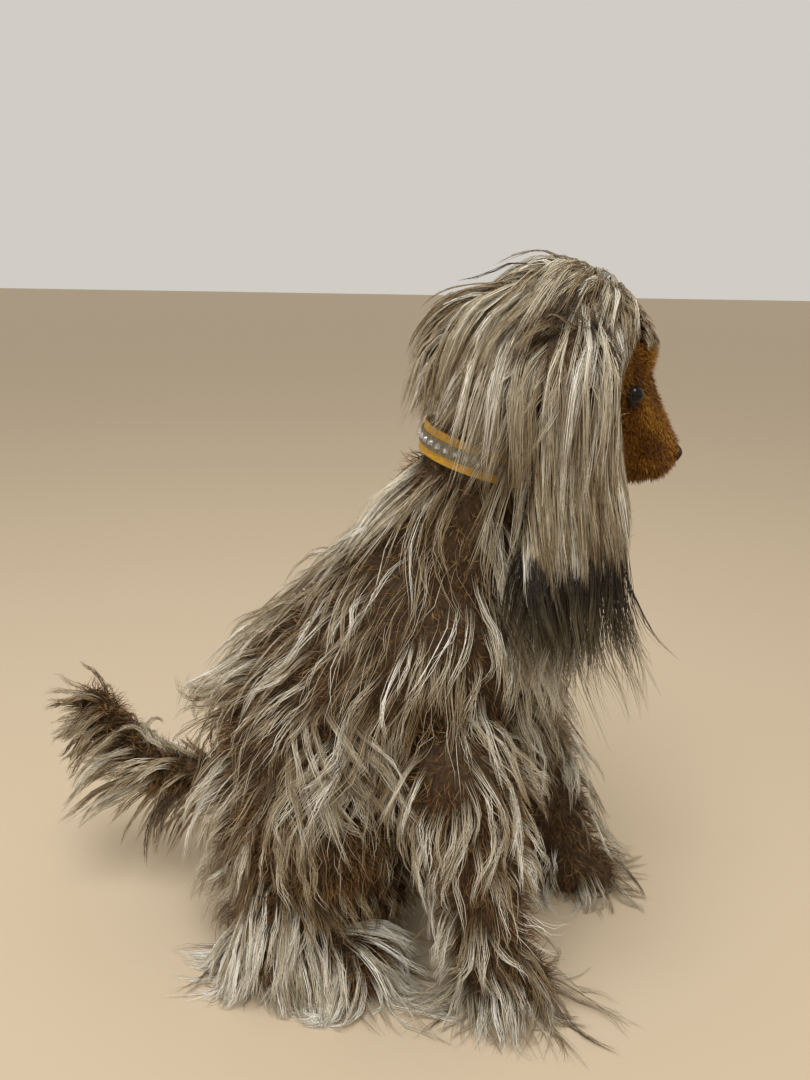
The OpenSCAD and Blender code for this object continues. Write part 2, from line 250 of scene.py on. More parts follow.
TRUNK_FORMS = [n for n in CHAINS if n.startswith(("torso", "neck", "front", "thigh", "hind"))]
FACE_FORMS = ["face", "lip_right", "lip_left", "jaw"]
HEAD_FORMS = ["head", "face", "neck"]
EAR_FORMS = [n for n in CHAINS if n.startswith("ear")]
print(len(CHAINS), "chains")

# %% [markdown]
# ## Distance to the body
# A smooth union of the limbs gives the distance of any point from the body, and its slope is the way out.

# %% Distance field
SMOOTH = 0.012


def limbs(names):
    found = []
    for name in names:
        balls = CHAINS[name]
        found += [(*a, *b) for a, b in zip(balls[:-1], balls[1:])]
    return found


def distance(points, forms):
    """Signed distance of points to the smooth union of limbs."""
    total = None
    for a, ra, b, rb in forms:
        axis = b - a
        along = np.clip((points - a) @ axis / (axis @ axis), 0, 1)
        one = np.linalg.norm(points - a - along[..., None] * axis, axis=-1) - (ra + (rb - ra) * along)
        if total is None:
            total = one
            continue
        share = np.clip(0.5 + 0.5 * (total - one) / SMOOTH, 0, 1)
        total = total * (1 - share) + one * share - SMOOTH * share * (1 - share)
    return total


def outward(points, forms, base=None):
    """Unit direction away from the limbs."""
    step = 0.0005
    base = distance(points, forms) if base is None else base
    slope = np.stack([distance(points + step * np.eye(3)[k], forms) - base for k in range(3)], -1)
    return unit(slope)


def unit(v):
    return v / np.maximum(np.linalg.norm(v, axis=-1, keepdims=True), 1e-9)


# %% [markdown]
# ## Shaders
# A small class does the shader sums: arithmetic on its values adds the nodes.

# %% Shader sums
class Value:
    def __init__(self, shader, socket):
        self.shader = shader
        self.socket = socket

    def __mul__(self, other):
        return self.shader.maths("MULTIPLY", self, other)

    def __truediv__(self, other):
        return self.shader.maths("DIVIDE", self, other)

    def floor(self):
        return self.shader.maths("FLOOR", self)


class Shader:
    """A material and its sums."""

    def __init__(self, name, **surface):
        self.material = bpy.data.materials.new(name)
        self.material.use_nodes = True
        self.tree = self.material.node_tree
        self.surface = self.tree.nodes["Principled BSDF"]
        for key, value in surface.items():
            self.surface.inputs[key.replace("_", " ")].default_value = value

    def node(self, kind, values=None, **settings):
        made = self.tree.nodes.new("ShaderNode" + kind)
        for key, value in settings.items():
            setattr(made, key, value)
        for key, value in (values or {}).items():
            if isinstance(value, Value):
                self.tree.links.new(value.socket, made.inputs[key])
            else:
                made.inputs[key].default_value = value
        return made

    def maths(self, operation, *values):
        made = self.node("Math", dict(enumerate(values)), operation=operation)
        return Value(self, made.outputs[0])

    def value(self, made, name):
        return Value(self, made.outputs[name])

    def place(self):
        return self.value(self.node("TexCoord"), "Object")

    def noise(self, scale):
        values = {"Vector": self.place(), "Scale": scale, "Detail": 3.0, "Roughness": 0.6}
        return self.value(self.node("TexNoise", values), "Fac")

    def ramp(self, value, *stops):
        made = self.node("ValToRGB", {"Fac": value})
        bar = made.color_ramp.elements
        while len(bar) < len(stops):
            bar.new(0.5)
        for point, (position, colour) in zip(bar, stops):
            point.position = position
            point.color = (*colour, 1)
        return self.value(made, "Color")

    def mix(self, share, a, b):
        made = self.node("MixRGB", {"Fac": share, "Color1": a, "Color2": b})
        return self.value(made, "Color")

    def paint(self, name, value):
        self.tree.links.new(value.socket, self.surface.inputs[name])

    def bump(self, height, distance):
        made = self.node("Bump", {"Height": height, "Distance": distance, "Strength": 1.0})
        self.paint("Normal", self.value(made, "Normal"))


def rgb(*levels):
    """Linear colour from display levels of 0 to 255."""
    return tuple(((x / 255 + 0.055) / 1.055) ** 2.4 if x > 10 else x / 3294.6 for x in levels)


# %% [markdown]
# ## Hair colours
# Every hair carries its own small map: across it, one of a few columns that gives its shade, and along
# it, the way from root to tip. Brown roots pass into silver tips, and the shade says how white they get.

# %% Hair materials
COLUMNS = 32
HAIR_MAP = "OFBake"


def hair_material(name, tips, roots, root_end, roughness):
    shader = Shader(name, Roughness=roughness)
    place = shader.node("SeparateXYZ", {"Vector": shader.value(shader.node("UVMap", uv_map=HAIR_MAP), "UV")})
    shade = (shader.value(place, "X") * COLUMNS).floor() / (COLUMNS - 1)
    along = shader.value(place, "Y")
    tip_colour = shader.ramp(shade, *tips)
    root_colour = shader.ramp(shade, *roots)
    blend = shader.node("MapRange", {"Value": along, "From Min": root_end[0], "From Max": root_end[1]},
                        interpolation_type="SMOOTHSTEP")
    shader.paint("Base Color", shader.mix(shader.value(blend, "Result"), root_colour, tip_colour))
    return shader.material


silver_hair = hair_material(
    "silver_hair",
    tips=[(0.0, rgb(52, 40, 24)), (0.15, rgb(96, 72, 40)), (0.35, rgb(142, 120, 86)),
          (0.6, rgb(180, 166, 138)), (0.85, rgb(218, 209, 188)), (1.0, rgb(250, 246, 234))],
    roots=[(0.0, rgb(38, 27, 15)), (0.35, rgb(92, 70, 40)), (0.6, rgb(122, 104, 74)),
           (1.0, rgb(180, 170, 148))],
    root_end=(0.05, 0.40), roughness=0.34)
# Dark ear-tip hair: partly the hair's own dark brown, partly painted shade below the hanging ears.
ear_tip_hair = hair_material(
    "ear_tip_hair",
    tips=[(0.0, rgb(62, 50, 32)), (0.5, rgb(118, 104, 78)), (1.0, rgb(190, 180, 156))],
    roots=[(0.0, rgb(26, 18, 9)), (1.0, rgb(62, 48, 28))],
    root_end=(0.42, 0.85), roughness=0.36)
brown_hair = hair_material(
    "brown_hair",
    tips=[(0.0, rgb(88, 58, 24)), (0.5, rgb(128, 90, 44)), (1.0, rgb(168, 132, 80))],
    roots=[(0.0, rgb(48, 31, 12)), (1.0, rgb(84, 60, 30))],
    root_end=(0.0, 0.7), roughness=0.55)
tan_hair = hair_material(
    "tan_hair",
    tips=[(0.0, rgb(96, 54, 6)), (0.5, rgb(182, 124, 24)), (1.0, rgb(226, 172, 60))],
    roots=[(0.0, rgb(84, 44, 4)), (1.0, rgb(150, 94, 14))],
    root_end=(0.0, 0.8), roughness=0.5)


def plush_material(name, dark, light, scale):
    shader = Shader(name, Roughness=0.9)
    tone = shader.noise(scale)
    shader.paint("Base Color", shader.ramp(tone, (0.3, dark), (0.7, light)))
    shader.bump(shader.noise(scale * 4), 0.0015)
    return shader.material


under_plush = plush_material("under_plush", rgb(44, 28, 12), rgb(86, 62, 32), 260)
face_plush = plush_material("face_plush", rgb(96, 54, 6), rgb(150, 98, 18), 320)
sole_plush = plush_material("sole_plush", rgb(60, 44, 24), rgb(92, 72, 44), 400)
lining_plush = plush_material("lining_plush", rgb(58, 40, 20), rgb(98, 74, 44), 380)
print("hair and plush materials made")

# %% [markdown]
# ## Plush forms
# Each form is a run of balls, each pair of which is wrapped in a hull. The hulls are joined, remeshed
# into one skin and smoothed. They stay a little inside the frame's own surface, as the pile adds the rest.

# %% Plush forms
INSET = 0.003
FORM_FLOOR = 0.0005


def add_ball(centre, radius, segments=32):
    bpy.ops.mesh.primitive_uv_sphere_add(segments=segments, ring_count=segments // 2, radius=radius,
                                         location=centre)


def hull(a, ra, b, rb):
    """One hull round two balls, as an object."""
    bpy.ops.object.select_all(action="DESELECT")
    add_ball(a, ra)
    made = bpy.context.object
    bpy.ops.object.transform_apply(location=True, rotation=True, scale=True)
    bpy.ops.object.mode_set(mode="EDIT")
    add_ball(b, rb)
    bpy.ops.mesh.select_all(action="SELECT")
    bpy.ops.mesh.convex_hull()
    bpy.ops.object.mode_set(mode="OBJECT")
    return made


def apply_modifiers(obj):
    bpy.ops.object.select_all(action="DESELECT")
    obj.select_set(True)
    bpy.context.view_layer.objects.active = obj
    bpy.ops.object.convert(target="MESH")


def remesh_skin(obj, voxel):
    remesh = obj.modifiers.new("skin", "REMESH")
    remesh.mode = "VOXEL"
    remesh.voxel_size = voxel


def settle(obj, name, material, smooth=True):
    """Gives a new piece its name and its material."""
    obj.name = name
    obj.data.name = name
    obj.data.materials.clear()
    obj.data.materials.append(material)
    if smooth:
        obj.data.shade_smooth()
    return obj


def plush_form(name, chains, material, inset=INSET, voxel=0.0045, rounds=8):
    """A smooth skin round chains of balls, cut flat by the floor."""
    hulls = [hull(a, ra - inset, b, rb - inset)
             for balls in chains for (a, ra), (b, rb) in zip(balls[:-1], balls[1:])]
    bpy.ops.object.select_all(action="DESELECT")
    for one in hulls:
        one.select_set(True)
    made = hulls[0]
    bpy.context.view_layer.objects.active = made
    if len(hulls) > 1:
        bpy.ops.object.join()
    remesh_skin(made, voxel)
    smooth = made.modifiers.new("smooth", "SMOOTH")
    smooth.iterations = rounds
    apply_modifiers(made)
    co = np.empty(len(made.data.vertices) * 3, np.float32)
    made.data.vertices.foreach_get("co", co)
    co = co.reshape(-1, 3)
    co[:, 2] = np.maximum(co[:, 2], FORM_FLOOR)
    made.data.vertices.foreach_set("co", co.ravel())
    return settle(made, name, material)


def finish_piece(obj, body, slot, *nodes):
    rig.ride(obj, body)
    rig.slot(obj, slot)
    if nodes:
        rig.replaces(obj, *nodes)
    return obj


# Each form's body and the frame's nodes that it stands for
FORMS = {
    "torso": ("trunk", ["torso_skin_right", "torso_skin_left", "torso_stuffing", "pellet_bag"]),
    "neck": ("trunk", ["neck_skin", "neck_stuffing"]),
    "tail": ("tail", ["tail_skin", "tail_stuffing"]),
    "head": ("head", ["head_skin_right", "head_skin_left", "head_stuffing", "eye_washer_right",
                      "eye_washer_left"]),
}
forms = {}
for name, (body, nodes) in FORMS.items():
    forms[name] = plush_form(name + "_plush", [CHAINS[name]], under_plush)
    finish_piece(forms[name], body, "long_pile", *nodes)
forms["face"] = plush_form("face_plush", [CHAINS[n] for n in FACE_FORMS], face_plush, inset=0.0,
                           voxel=0.0025, rounds=5)
finish_piece(forms["face"], "head", "face_pile", "face_skin")
for side_name in SIDES:
    for part in ("front_leg_", "thigh_", "hind_leg_"):
        name = part + side_name
        forms[name] = plush_form(name + "_plush", [CHAINS[name]], under_plush)
        finish_piece(forms[name], "trunk", "long_pile", name + "_skin", name + "_stuffing")
for one in forms.values():
    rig.padded(one, fill=0.8)
print(len(forms), "plush forms:", ", ".join(sorted(forms)))

# %% [markdown]
# ## Ear flaps
# An ear is a limp flap: wide at its round tip, narrow at its root, with a lining inside.

# %% Ear flaps
EAR_ROOT = (25, 58, 66)
EAR_LENGTH = 0.100
EAR_ROOT_RADIUS = 0.021
EAR_TIP_RADIUS = 0.030
EAR_CURVE = 40          # how strongly the root bends in to the skull


def ear_flap(name, side, start, thickness, material):
    """One layer of an ear, made flat and then hung beside the head. start and thickness in mm."""
    middle = start + thickness / 2
    made = hull((0, 0, 0), EAR_ROOT_RADIUS, (0, 0, -EAR_LENGTH), EAR_TIP_RADIUS)
    bpy.ops.object.mode_set(mode="EDIT")
    bpy.ops.mesh.select_all(action="SELECT")
    flat = thickness * MM / (2 * EAR_TIP_RADIUS)
    bpy.ops.transform.resize(value=(1, flat, 1), center_override=(0, 0, 0))
    bpy.ops.object.mode_set(mode="OBJECT")
    remesh_skin(made, 0.0015)
    apply_modifiers(made)
    for v in made.data.vertices:
        over = max(v.co.z + 0.004, 0)
        v.co.y -= side * over * over * EAR_CURVE
    lean = Matrix.Rotation(side * EAR_SPLAY, 4, "X")
    hang = Matrix.Translation((0, side * middle * MM, 0))
    place = Matrix.Translation((EAR_ROOT[0] * MM, side * EAR_ROOT[1] * MM, EAR_ROOT[2] * MM))
    turn = Matrix(HEAD_TURN.tolist()).to_4x4()
    made.data.transform(Matrix.Translation(COLLAR) @ turn @ place @ lean @ hang)
    return settle(made, name, material)


for side_name, side in SIDES.items():
    ear = "ear_" + side_name
    forms[ear] = ear_flap(ear + "_plush", side, 3.3, 6, under_plush)
    finish_piece(forms[ear], ear, "long_pile", ear + "_pile")
    lining = ear_flap(ear + "_lining_plush", side, 0, 3, lining_plush)
    finish_piece(lining, ear, "lining", ear + "_lining")
    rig.padded(forms[ear], fill=0.15)
    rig.padded(lining, fill=0.1)
print("ear flaps made")

# %% [markdown]
# ## Combing
# Locks are laid first. A lock starts at the skin, is lifted by the pile, follows the comb, falls under
# its weight and is kept outside the body and above the floor. Hairs are then laid round each lock and
# drawn together towards its tip.

# %% Roots, locks and hairs
STEPS = 6
FULLNESS = 0.91     # share of the listed locks and hairs that are made
FLOOR_LIFT = 0.0006
UNEVEN = 0.3               # how much shorter than its lock a hair may be
ROOT_CLEARANCE = 0.0005
TIP_CLEARANCE = 0.0015     # added to it along a hair
rng = np.random.default_rng(7)


def surface_roots(obj, count, keep=None):
    """Points and outward directions spread evenly over a form, where keep allows them."""
    mesh = obj.data
    mesh.calc_loop_triangles()
    corners = np.empty(len(mesh.loop_triangles) * 3, np.int32)
    mesh.loop_triangles.foreach_get("vertices", corners)
    co = np.empty(len(mesh.vertices) * 3, np.float32)
    mesh.vertices.foreach_get("co", co)
    tri = co.reshape(-1, 3)[corners.reshape(-1, 3)].astype(float)
    cross = np.cross(tri[:, 1] - tri[:, 0], tri[:, 2] - tri[:, 0])
    area = np.linalg.norm(cross, axis=1)
    points, normals = [], []
    left = count
    for _ in range(12):
        pick = rng.choice(len(tri), size=2 * left + 64, p=area / area.sum())
        u = rng.random((len(pick), 2))
        u = np.where(u.sum(1, keepdims=True) > 1, 1 - u, u)
        one, two = tri[pick, 1] - tri[pick, 0], tri[pick, 2] - tri[pick, 0]
        p = tri[pick, 0] + u[:, :1] * one + u[:, 1:] * two
        n = unit(cross[pick])
        allowed = np.ones(len(p), bool) if keep is None else keep(p, n)
        points.append(p[allowed][:left])
        normals.append(n[allowed][:left])
        left -= len(points[-1])
        if left <= 0:
            break
    return np.concatenate(points), np.concatenate(normals)


def swell(points, size, seed, parts=5):
    """A smooth random number from about -1 to 1 for each point, with patches of that size."""
    waves = np.random.default_rng(seed)
    total = np.zeros(points.shape[:-1])
    for k in range(parts):
        direction = unit(waves.normal(size=3)) * (2 * math.pi / size) * waves.uniform(0.6, 1.5)
        total = total + np.sin(points @ direction + waves.uniform(0, 2 * math.pi))
    return total / math.sqrt(parts)


def swirl(points, size, seed):
    """A smooth random direction for each point."""
    return np.stack([swell(points, size, seed + k) for k in range(3)], -1)


def lay_locks(roots, normals, comb, length, lift, layer, fall, against, seed, tousle, hug):
    """Paths of the locks, one row each. layer is the height of a tip above the body."""
    count = len(roots)
    body = limbs(against)
    path = np.empty((count, STEPS, 3))
    path[:, 0] = roots
    comb = unit(comb)
    way = unit(comb + normals * lift)
    step = (length / (STEPS - 1))[:, None]
    for k in range(1, STEPS):
        t = k / (STEPS - 1)
        here = path[:, k - 1] + way * step
        far = distance(here, body)
        out = outward(here, body, far)
        height = layer * t ** 0.7
        here = here + out * np.clip(height - far, 0, None)[:, None]
        here = here - out * (hug * np.clip(far - height, 0, 0.03))[:, None]
        here[:, 2] = np.maximum(here[:, 2], FLOOR_LIFT)
        path[:, k] = here
        way = unit(here - path[:, k - 1])
        along = comb - out * np.clip((comb * out).sum(1), None, 0)[:, None]
        way = unit(way + 0.30 * along + tousle * swirl(here, 0.07, seed) + fall * np.array([0, 0, -1]))
    return path


def part_way(line, share):
    """The same hairs, each only as far along as its share."""
    total, steps, _ = line.shape
    spot = share[:, None] * np.linspace(0, 1, steps)[None] * (steps - 1)
    low = np.clip(spot.astype(int), 0, steps - 2)
    part = (spot - low)[..., None]
    rows = np.arange(total)[:, None]
    return line[rows, low] * (1 - part) + line[rows, low + 1] * part


def fill_locks(path, normals, shade, hairs, spread, clump, curl, against):
    """Hairs laid round each lock: their paths and shades."""
    count = len(path)
    lock = np.repeat(np.arange(count), hairs)
    total = len(lock)
    side = unit(np.cross(path[lock, 1] - path[lock, 0], normals[lock]))
    front = unit(np.cross(normals[lock], side))
    angle = rng.uniform(0, 2 * math.pi, total)
    reach = spread * np.sqrt(rng.random(total))
    offset = side * (reach * np.cos(angle))[:, None] + front * (reach * np.sin(angle))[:, None]
    share = 1 - UNEVEN * rng.random(total) ** 2
    t = np.linspace(0, 1, STEPS)
    line = part_way(path[lock], share)
    gather = 1 - clump * (t ** 0.6)
    line = line + offset[:, None] * gather[None, :, None]
    wave = rng.uniform(0, 2 * math.pi, count)[lock] + rng.normal(0, 0.5, total)
    turns = rng.uniform(0.6, 1.4, count)[lock]
    sway = np.sin(2 * math.pi * turns[:, None] * t[None] + wave[:, None]) * (curl * t[None])
    line = line + side[:, None] * sway[..., None]
    line = line + rng.normal(0, 1, (total, STEPS, 3)) * (curl * 0.22 * t)[None, :, None]
    flat = line.reshape(-1, 3)
    body = limbs(against)
    far = distance(flat, body)
    need = np.tile(ROOT_CLEARANCE + TIP_CLEARANCE * t, total)
    deep = far < need
    deep[::STEPS] = False
    if deep.any():
        flat[deep] += outward(flat[deep], body, far[deep]) * (need[deep] - far[deep])[:, None]
    flat[:, 2] = np.maximum(flat[:, 2], FLOOR_LIFT)
    tones = np.clip(shade[lock] + rng.normal(0, 0.13, total), 0, 1)
    return flat.reshape(total, STEPS, 3), tones


# %% [markdown]
# ## Trimming
# A hair is cut where it would leave the space the coat may fill, and hairs cut too short are dropped.

# %% Trimming
COAT_LOW = np.array([-0.2155, -0.1155, 0.0])
COAT_HIGH = np.array([0.261, 0.1155, 0.489])
SHORTEST_SHARE = 0.25
AVOID_CROSSED = 0.16


def in_coat_space(points):
    return ((points > COAT_LOW) & (points < COAT_HIGH)).all(-1)


def trim(line, tones, allowed, avoid=None):
    """Hairs cut at the first place that isn't allowed. A few hairs still cross what is avoided."""
    total = len(line)
    good = allowed(line)
    if avoid is not None:
        good &= ~avoid(line) | (rng.random(total) < AVOID_CROSSED)[:, None]
    first_bad = np.where(good.all(1), STEPS, np.argmin(good, 1))
    share = np.where(first_bad == STEPS, 1.0, (first_bad - 1) / (STEPS - 1) * rng.uniform(0.7, 1, total))
    kept = share > SHORTEST_SHARE
    line, tones, share = line[kept], tones[kept], np.clip(share[kept], 0, 1)
    return part_way(line, share), tones


# %% [markdown]
# ## Hairs as solids
# Each hair is a closed three-sided spike. All the hairs of a coat are one mesh, with the small map that
# its colours need.

# %% Hair meshes
def repeated(numbers, step, total):
    """One hair's numbers for every hair, each hair a step further on."""
    return (numbers[None] + step * np.arange(total)[:, None]).ravel().astype(np.int32)


def spikes(name, line, tones, thickness, material):
    """One mesh of closed tapered hairs along the lines."""
    total, steps, _ = line.shape
    along = unit(np.gradient(line, axis=1))
    seed_side = unit(np.cross(along[:, 0], rng.normal(size=(total, 3))))
    rings = []
    t = np.linspace(0, 1, steps)
    width = thickness[:, None] * (0.55 + 0.45 * np.sin(math.pi * np.minimum(t * 1.4, 1) * 0.5 + 0.4))[None]
    width = width * (1 - 0.75 * np.clip((t - 0.55) / 0.45, 0, 1))[None]
    for k in range(steps - 1):
        one = unit(seed_side - along[:, k] * (seed_side * along[:, k]).sum(1, keepdims=True))
        two = np.cross(along[:, k], one)
        for corner in range(3):
            turn = 2 * math.pi * corner / 3
            ring = line[:, k] + (width[:, k] / 2)[:, None] * (math.cos(turn) * one + math.sin(turn) * two)
            rings.append(ring)
    rings.append(line[:, -1])
    co = np.stack(rings, 1)
    co[..., 2] = np.maximum(co[..., 2], FLOOR_LIFT * 0.3)
    per = co.shape[1]
    faces, places = [], []
    for k in range(steps - 2):
        for corner in range(3):
            a, b = 3 * k + corner, 3 * k + (corner + 1) % 3
            faces.append((a, b, b + 3, a + 3))
            u, v = corner / 3, (corner + 1) / 3
            places.append(((u, t[k]), (v, t[k]), (v, t[k + 1]), (u, t[k + 1])))
    tip, last = per - 1, 3 * (steps - 2)
    for corner in range(3):
        faces.append((last + corner, last + (corner + 1) % 3, tip))
        u, v = corner / 3, (corner + 1) / 3
        places.append(((u, t[-2]), (v, t[-2]), ((u + v) / 2, t[-1])))
    faces.append((2, 1, 0))
    places.append(((0.6, 0.0), (0.3, 0.0), (0.4, 0.01)))
    loops = np.concatenate([np.array(f) for f in faces])
    sizes = np.array([len(f) for f in faces])
    uv = np.concatenate([np.array(p) for p in places])
    mesh = bpy.data.meshes.new(name)
    mesh.vertices.add(total * per)
    mesh.vertices.foreach_set("co", co.reshape(-1).astype(np.float32))
    mesh.loops.add(total * len(loops))
    mesh.loops.foreach_set("vertex_index", repeated(loops, per, total))
    mesh.polygons.add(total * len(sizes))
    starts = np.concatenate([[0], np.cumsum(sizes)[:-1]])
    mesh.polygons.foreach_set("loop_start", repeated(starts, len(loops), total))
    layer = mesh.uv_layers.new(name=HAIR_MAP)
    column = np.floor(tones * (COLUMNS - 1) + 0.5)
    u = (column[:, None] + 0.1 + 0.8 * uv[None, :, 0]) / COLUMNS
    v = np.broadcast_to(0.02 + 0.96 * uv[None, :, 1], u.shape)
    layer.data.foreach_set("uv", np.stack([u, v], -1).reshape(-1).astype(np.float32))
    mesh.update(calc_edges=True)
    mesh.shade_smooth()
    mesh.materials.append(material)
    made = bpy.data.objects.new(name, mesh)
    bpy.context.scene.collection.objects.link(made)
    return made


# %% [markdown]
# ## Coats
# A coat says, for every root, which way the comb went, how long the hair is, how high it lies and how
# silver it is. Patches where the long hair is thin show the brown underpile.

# %% Coat helper
THIN_PATCH = 0.055
hair_count = 0


def add_coat(name, form, body, comb_of, locks, hairs, against, length=(0.06, 0.09), lift=0.5,
             layer=(0.002, 0.012), fall=0.25, spread=0.004, clump=0.8, curl=0.003, tone=(0.5, 0.2),
             thickness=(0.00045, 0.0007), bare=0.4, seed=1, keep=None, material=None,
             tousle=0.35, space=in_coat_space, hug=0.0, avoid=None):
    """Lays one coat of long hair on a form and makes it ride on a body."""
    global hair_count
    others = [n for n in against if not n.startswith(form)]

    def allowed(p, n):
        good = distance(p, limbs(others)) > -0.001 if others else np.ones(len(p), bool)
        good &= p[:, 2] > 0.004
        thin = swell(p, THIN_PATCH, seed + 50) < -0.25
        good &= ~thin | (rng.random(len(p)) > bare)
        return good if keep is None else good & keep(p, n)

    roots, normals = surface_roots(forms[form], round(FULLNESS * locks), allowed)
    size = rng.uniform(*length, len(roots))
    comb, scale, extra_tone = comb_of(roots, normals)
    height = rng.uniform(*layer, len(roots))
    path = lay_locks(roots, normals, comb, size * scale, lift, height, fall, against, seed, tousle, hug)
    shade = tone[0] + extra_tone + tone[1] * swell(roots, 0.03, seed + 90) + rng.normal(0, 0.12, len(roots))
    line, tones = fill_locks(path, normals, shade, hairs, spread, clump, curl, against)
    line, tones = trim(line, tones, space, avoid)
    thick = rng.uniform(*thickness, len(line))
    made = spikes(name, line, tones, thick, material or silver_hair)
    hair_count += len(line)
    return finish_piece(made, body, "long_pile")


# %% [markdown]
# ### Trunk
# The back is combed back and down, the thighs forward, and the hair of the paws spreads on the floor.

# %% Trunk coats
LEVEL = np.array([1, 1, 0])     # keeps the level part of a direction


def ramp_up(value, start, end):
    """0 below start, 1 above end."""
    return np.clip((value - start) / (end - start), 0, 1)


# Brown patches as (x, height, radius), in millimetres, on both flanks
PATCHES = [(76, 290, 26), (-20, 246, 20), (-34, 168, 20), (52, 118, 22), (142, 86, 15), (96, 208, 12),
           (30, 236, 12), (178, 70, 15)]


def in_patch(points):
    """Whether points are on a brown patch, whose edge is uneven."""
    ragged = 1 + 0.35 * swell(points, 0.02, 300)
    found = np.zeros(points.shape[:-1], bool)
    for x, z, r in PATCHES:
        away = np.hypot(points[..., 0] - x * MM, points[..., 2] - z * MM)
        found |= away < r * MM * ragged
    return found & (np.abs(points[..., 1]) > 0.03)


def torso_comb(p, n):
    way = np.tile([-0.30, 0.0, -1.0], (len(p), 1))
    way[:, 0] += 0.55 * np.clip((p[:, 0] - 0.08) / 0.06, -1, 1)
    way[:, 1] += 0.15 * np.sign(p[:, 1])
    way += 0.30 * swirl(p, 0.09, 400)
    belly = ramp_up(p[:, 0], 0.03, 0.06) * (1 - ramp_up(p[:, 2], 0.13, 0.18))
    low = 1 - ramp_up(p[:, 2], 0.06, 0.14)
    shoulder_highlight = ramp_up(p[:, 0], 0.09, 0.12) * ramp_up(p[:, 2], 0.18, 0.22)
    # Painted highlight: lighter hair on top of the shoulder. Painted shade: darker hair low on the belly, where it is
    # also shorter.
    return way, (1 - 0.70 * belly) * (1 - 0.45 * low), 0.07 + 0.1 * shoulder_highlight - 0.3 * belly


def leg_comb(p, n):
    low = np.clip(1 - p[:, 2] / 0.05, 0, 1)[:, None]
    way = np.array([0.10, 0, -1.0]) + n * LEVEL * (0.15 + 1.0 * low) + 0.4 * swirl(p, 0.07, 500)
    inner = np.clip(-np.sign(p[:, 1]) * n[:, 1], 0, 1)
    return way, (1 + 0.35 * low[:, 0]) * (1 - 0.5 * inner), 0.16 + 0.14 * low[:, 0]


def hind_leg_comb(p, n):
    way, scale, _ = leg_comb(p, n)
    upper = ramp_up(p[:, 2], 0.05, 0.07)
    return way, scale * (1 - 0.5 * np.clip(n[:, 0], 0, 1) * upper), 0.40 - 0.1 * upper


def thigh_comb(p, n):
    front = ramp_up(p[:, 0], 0.03, 0.06)
    # The thigh's hair is browner, and darker still towards its front: partly brown hair, partly painted shade below
    # the flank tuft.
    return np.array([0.35, 0, -1.0]) + 0.3 * swirl(p, 0.08, 600), 1 - 0.4 * front, -0.1 - 0.2 * front


def tuft_comb(p, n):
    ahead = ramp_up(p[:, 0], 0.0, 0.05)[:, None]
    way = np.array([0.55, 0, -1.0]) * (1 - ahead) + np.array([1.0, 0, -0.5]) * ahead
    return way + 0.1 * swirl(p, 0.08, 610), np.ones(len(p)), 0.0


def on_flank_whorl(p):
    """The oval on a flank from which the hair sweeps forward."""
    return np.hypot((p[:, 0] - 0.026) / 0.030, (p[:, 2] - 0.190) / 0.024) < 1


def neck_comb(p, n):
    way = np.tile([-0.05, 0.0, -1.0], (len(p), 1))
    way[:, 0] += 0.35 * np.sign(p[:, 0] - 0.11)
    return way + 0.3 * swirl(p, 0.08, 700), np.ones(len(p)), 0.0


def below_collar(p, n):
    return (p - COLLAR) @ NECK_AXIS < -0.010


def clear_of_collar(points):
    along = (points - COLLAR) @ NECK_AXIS
    return in_coat_space(points) & (along < -0.008)


TRUNK = dict(against=TRUNK_FORMS, hairs=9, spread=0.0036, clump=0.55, curl=0.0035, tousle=0.32,
             thickness=(0.00028, 0.00048), fall=0.2, bare=0.7, lift=0.6, layer=(0.002, 0.016), hug=0.2,
             tone=(0.56, 0.26), avoid=in_patch)
for side_name, side in SIDES.items():
    add_coat("torso_hair_" + side_name, "torso", "trunk", torso_comb, 690, seed=11 + side,
             length=(0.035, 0.085), keep=lambda p, n: p[:, 1] * side >= 0, **TRUNK)
    add_coat("flank_tuft_" + side_name, "torso", "trunk", tuft_comb, 110, seed=16 + side,
             length=(0.05, 0.075), keep=lambda p, n: (p[:, 1] * side > 0.055) & on_flank_whorl(p),
             **{**TRUNK, "hairs": 12, "bare": 0.0, "tousle": 0.1, "tone": (0.58, 0.18), "avoid": None,
                "layer": (0.006, 0.014), "lift": 0.8})
    add_coat("thigh_hair_" + side_name, "thigh_" + side_name, "trunk", thigh_comb, 130, seed=21 + side,
             length=(0.035, 0.06), **TRUNK)
    add_coat("hind_leg_hair_" + side_name, "hind_leg_" + side_name, "trunk", hind_leg_comb, 260,
             seed=31 + side, length=(0.045, 0.08), **{**TRUNK, "bare": 0.15, "clump": 0.7, "avoid": None})
    add_coat("front_leg_hair_" + side_name, "front_leg_" + side_name, "trunk", leg_comb, 280, seed=41 + side,
             length=(0.035, 0.07), **TRUNK)
add_coat("neck_hair", "neck", "trunk", neck_comb, 350, seed=13, length=(0.05, 0.095), keep=below_collar,
         space=clear_of_collar, **TRUNK)


def fringe_comb(p, n):
    """Wisps that fan out on the floor, more along the dog than away from it."""
    fan = rng.uniform(-1.2, 1.2, len(p)) + 0.3
    away = np.stack([np.sin(fan), np.sign(p[:, 1]) * 0.45 * np.cos(fan), np.full(len(p), -0.35)], -1)
    return away + 0.3 * n * LEVEL, np.ones(len(p)), 0.0


